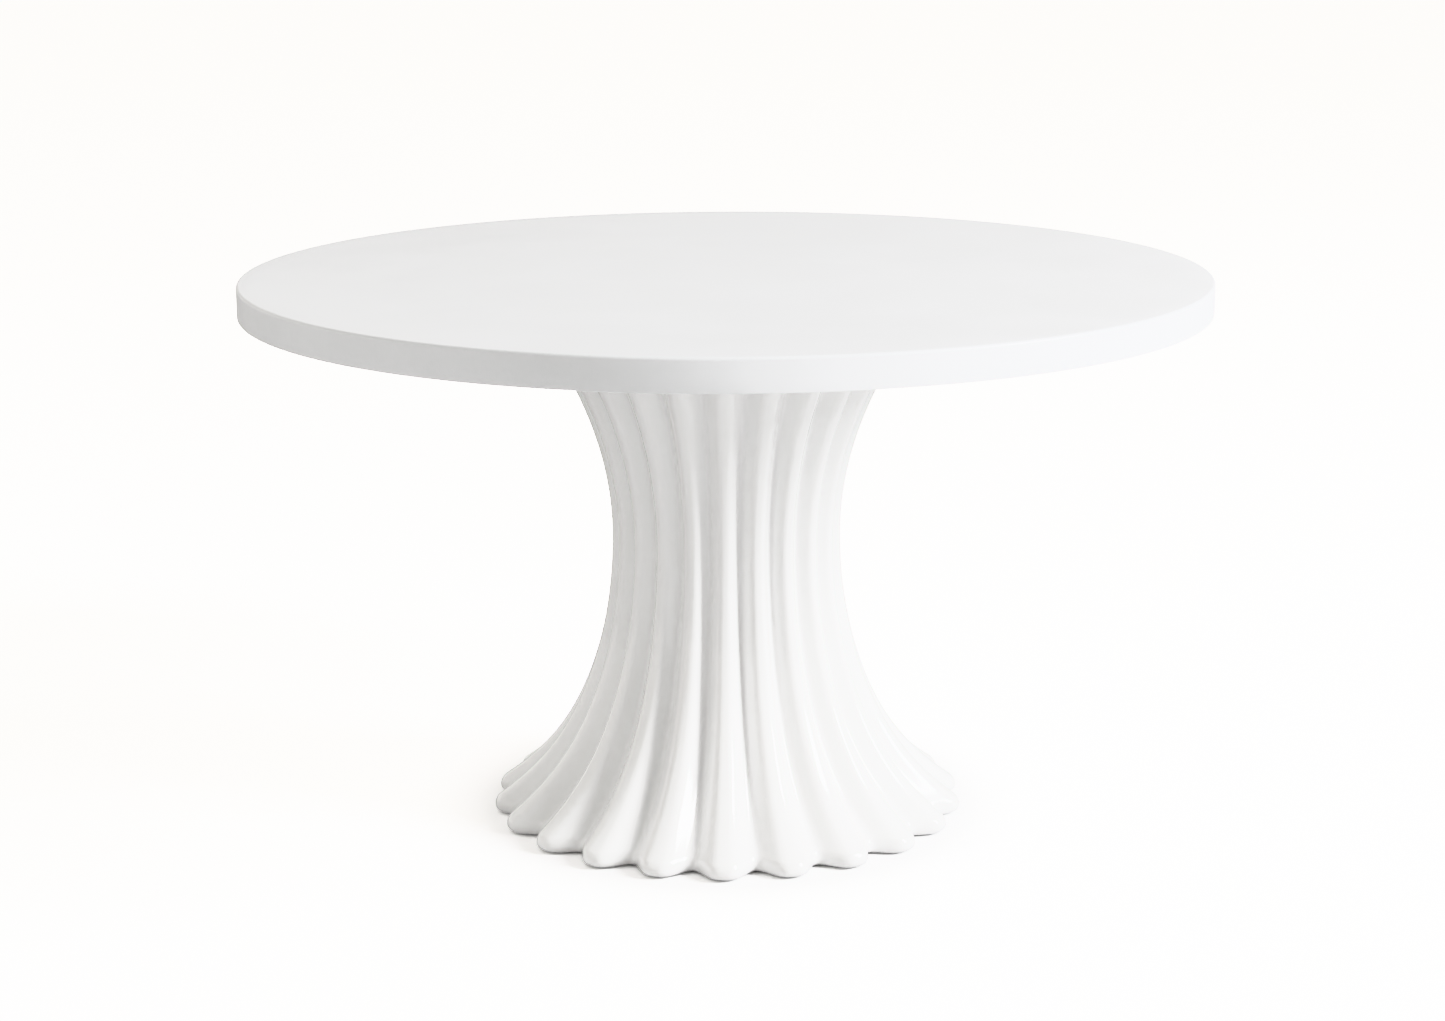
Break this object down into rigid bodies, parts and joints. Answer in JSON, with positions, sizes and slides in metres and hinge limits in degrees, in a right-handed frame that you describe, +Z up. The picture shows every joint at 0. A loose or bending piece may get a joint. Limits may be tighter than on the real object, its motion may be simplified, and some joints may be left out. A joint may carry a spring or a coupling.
{
  "type": "round pedestal table",
  "caption": "Round white dining table: a thick lacquered top on a flared, fluted pedestal that curves in to a waist and stands on hidden levelling feet.",
  "frame": {"origin": "on the floor, on the axis of the pedestal, at the centre of the bounding box's bottom face", "axes": "+Z up, away from the floor; -Y is the front, with one rib of the pedestal pointing along -Y; +X to the right seen from the front"},
  "size_m": [1.3, 1.3, 0.75],
  "materials": {
    "white_lacquer": "satin white lacquer on board, slightly mottled",
    "fibreboard": "bare fibreboard, lightly sealed",
    "white_gelcoat": "glossy white gelcoat over glass-fibre moulding",
    "plywood": "bare birch plywood with visible plies at its edges",
    "resin": "rough filled resin",
    "black_steel": "fine-textured black powder coat",
    "bright_steel": "turned steel",
    "zinc_plate": "bright zinc plating",
    "black_nylon": "moulded nylon"
  },
  "bodies": {
    "root": {"top_board": "white_lacquer", "rim_segment_1": "white_lacquer", "rim_segment_2": "white_lacquer", "rim_segment_3": "white_lacquer", "rim_segment_4": "white_lacquer", "rim_segment_5": "white_lacquer", "rim_segment_6": "white_lacquer", "rim_segment_7": "white_lacquer", "rim_segment_8": "white_lacquer", "mounting_disc": "fibreboard", "disc_screws": "zinc_plate", "plate_inserts": "zinc_plate", "plate_screws": "bright_steel", "plate_washers": "zinc_plate", "top_plate": "black_steel", "rod_socket": "bright_steel", "column_tube": "black_steel", "tie_rod": "bright_steel", "lower_spigot": "bright_steel", "rod_washer": "zinc_plate", "rod_nut": "zinc_plate", "shell_segment_1": "white_gelcoat", "shell_segment_2": "white_gelcoat", "shell_segment_3": "white_gelcoat", "shell_segment_4": "white_gelcoat", "shell_segment_5": "white_gelcoat", "shell_segment_6": "white_gelcoat", "shell_segment_7": "white_gelcoat", "shell_segment_8": "white_gelcoat", "shell_segment_9": "white_gelcoat", "shell_segment_10": "white_gelcoat", "shell_segment_11": "white_gelcoat", "crown_ring": "plywood", "base_board": "plywood", "bond_bead": "resin", "ballast_plate": "black_steel", "ballast_bolts": "bright_steel", "ballast_washers": "zinc_plate", "ballast_nuts": "zinc_plate", "leveller_tnuts": "zinc_plate"},
    "pad_1": {"leveller_pad_1": "black_nylon"},
    "stud_1": {"leveller_stud_1": "zinc_plate"},
    "pad_2": {"leveller_pad_2": "black_nylon"},
    "stud_2": {"leveller_stud_2": "zinc_plate"},
    "pad_3": {"leveller_pad_3": "black_nylon"},
    "stud_3": {"leveller_stud_3": "zinc_plate"},
    "pad_4": {"leveller_pad_4": "black_nylon"},
    "stud_4": {"leveller_stud_4": "zinc_plate"},
    "pad_5": {"leveller_pad_5": "black_nylon"},
    "stud_5": {"leveller_stud_5": "zinc_plate"},
    "pad_6": {"leveller_pad_6": "black_nylon"},
    "stud_6": {"leveller_stud_6": "zinc_plate"}
  },
  "joints": [
    {"name": "foot_1_travel", "type": "slide", "parent": "root", "child": "pad_1", "axis": [0, 0, 1], "range_m": [-0.012, 0]},
    {"name": "foot_1_turn", "type": "hinge", "parent": "pad_1", "child": "stud_1", "pos_m": [0.19226, 0.111, 0.0083], "axis": [0, 0, 1], "range_deg": [-2880, 0]},
    {"name": "foot_2_travel", "type": "slide", "parent": "root", "child": "pad_2", "axis": [0, 0, 1], "range_m": [-0.012, 0]},
    {"name": "foot_2_turn", "type": "hinge", "parent": "pad_2", "child": "stud_2", "pos_m": [0, 0.222, 0.0083], "axis": [0, 0, 1], "range_deg": [-2880, 0]},
    {"name": "foot_3_travel", "type": "slide", "parent": "root", "child": "pad_3", "axis": [0, 0, 1], "range_m": [-0.012, 0]},
    {"name": "foot_3_turn", "type": "hinge", "parent": "pad_3", "child": "stud_3", "pos_m": [-0.19226, 0.111, 0.0083], "axis": [0, 0, 1], "range_deg": [-2880, 0]},
    {"name": "foot_4_travel", "type": "slide", "parent": "root", "child": "pad_4", "axis": [0, 0, 1], "range_m": [-0.012, 0]},
    {"name": "foot_4_turn", "type": "hinge", "parent": "pad_4", "child": "stud_4", "pos_m": [-0.19226, -0.111, 0.0083], "axis": [0, 0, 1], "range_deg": [-2880, 0]},
    {"name": "foot_5_travel", "type": "slide", "parent": "root", "child": "pad_5", "axis": [0, 0, 1], "range_m": [-0.012, 0]},
    {"name": "foot_5_turn", "type": "hinge", "parent": "pad_5", "child": "stud_5", "pos_m": [0, -0.222, 0.0083], "axis": [0, 0, 1], "range_deg": [-2880, 0]},
    {"name": "foot_6_travel", "type": "slide", "parent": "root", "child": "pad_6", "axis": [0, 0, 1], "range_m": [-0.012, 0]},
    {"name": "foot_6_turn", "type": "hinge", "parent": "pad_6", "child": "stud_6", "pos_m": [0.19226, -0.111, 0.0083], "axis": [0, 0, 1], "range_deg": [-2880, 0]}
  ],
  "couplings": [
    {"joint": "foot_1_turn", "follows": "foot_1_travel", "rad_per_m": 4188.8},
    {"joint": "foot_2_turn", "follows": "foot_2_travel", "rad_per_m": 4188.8},
    {"joint": "foot_3_turn", "follows": "foot_3_travel", "rad_per_m": 4188.8},
    {"joint": "foot_4_turn", "follows": "foot_4_travel", "rad_per_m": 4188.8},
    {"joint": "foot_5_turn", "follows": "foot_5_travel", "rad_per_m": 4188.8},
    {"joint": "foot_6_turn", "follows": "foot_6_travel", "rad_per_m": 4188.8}
  ]
}
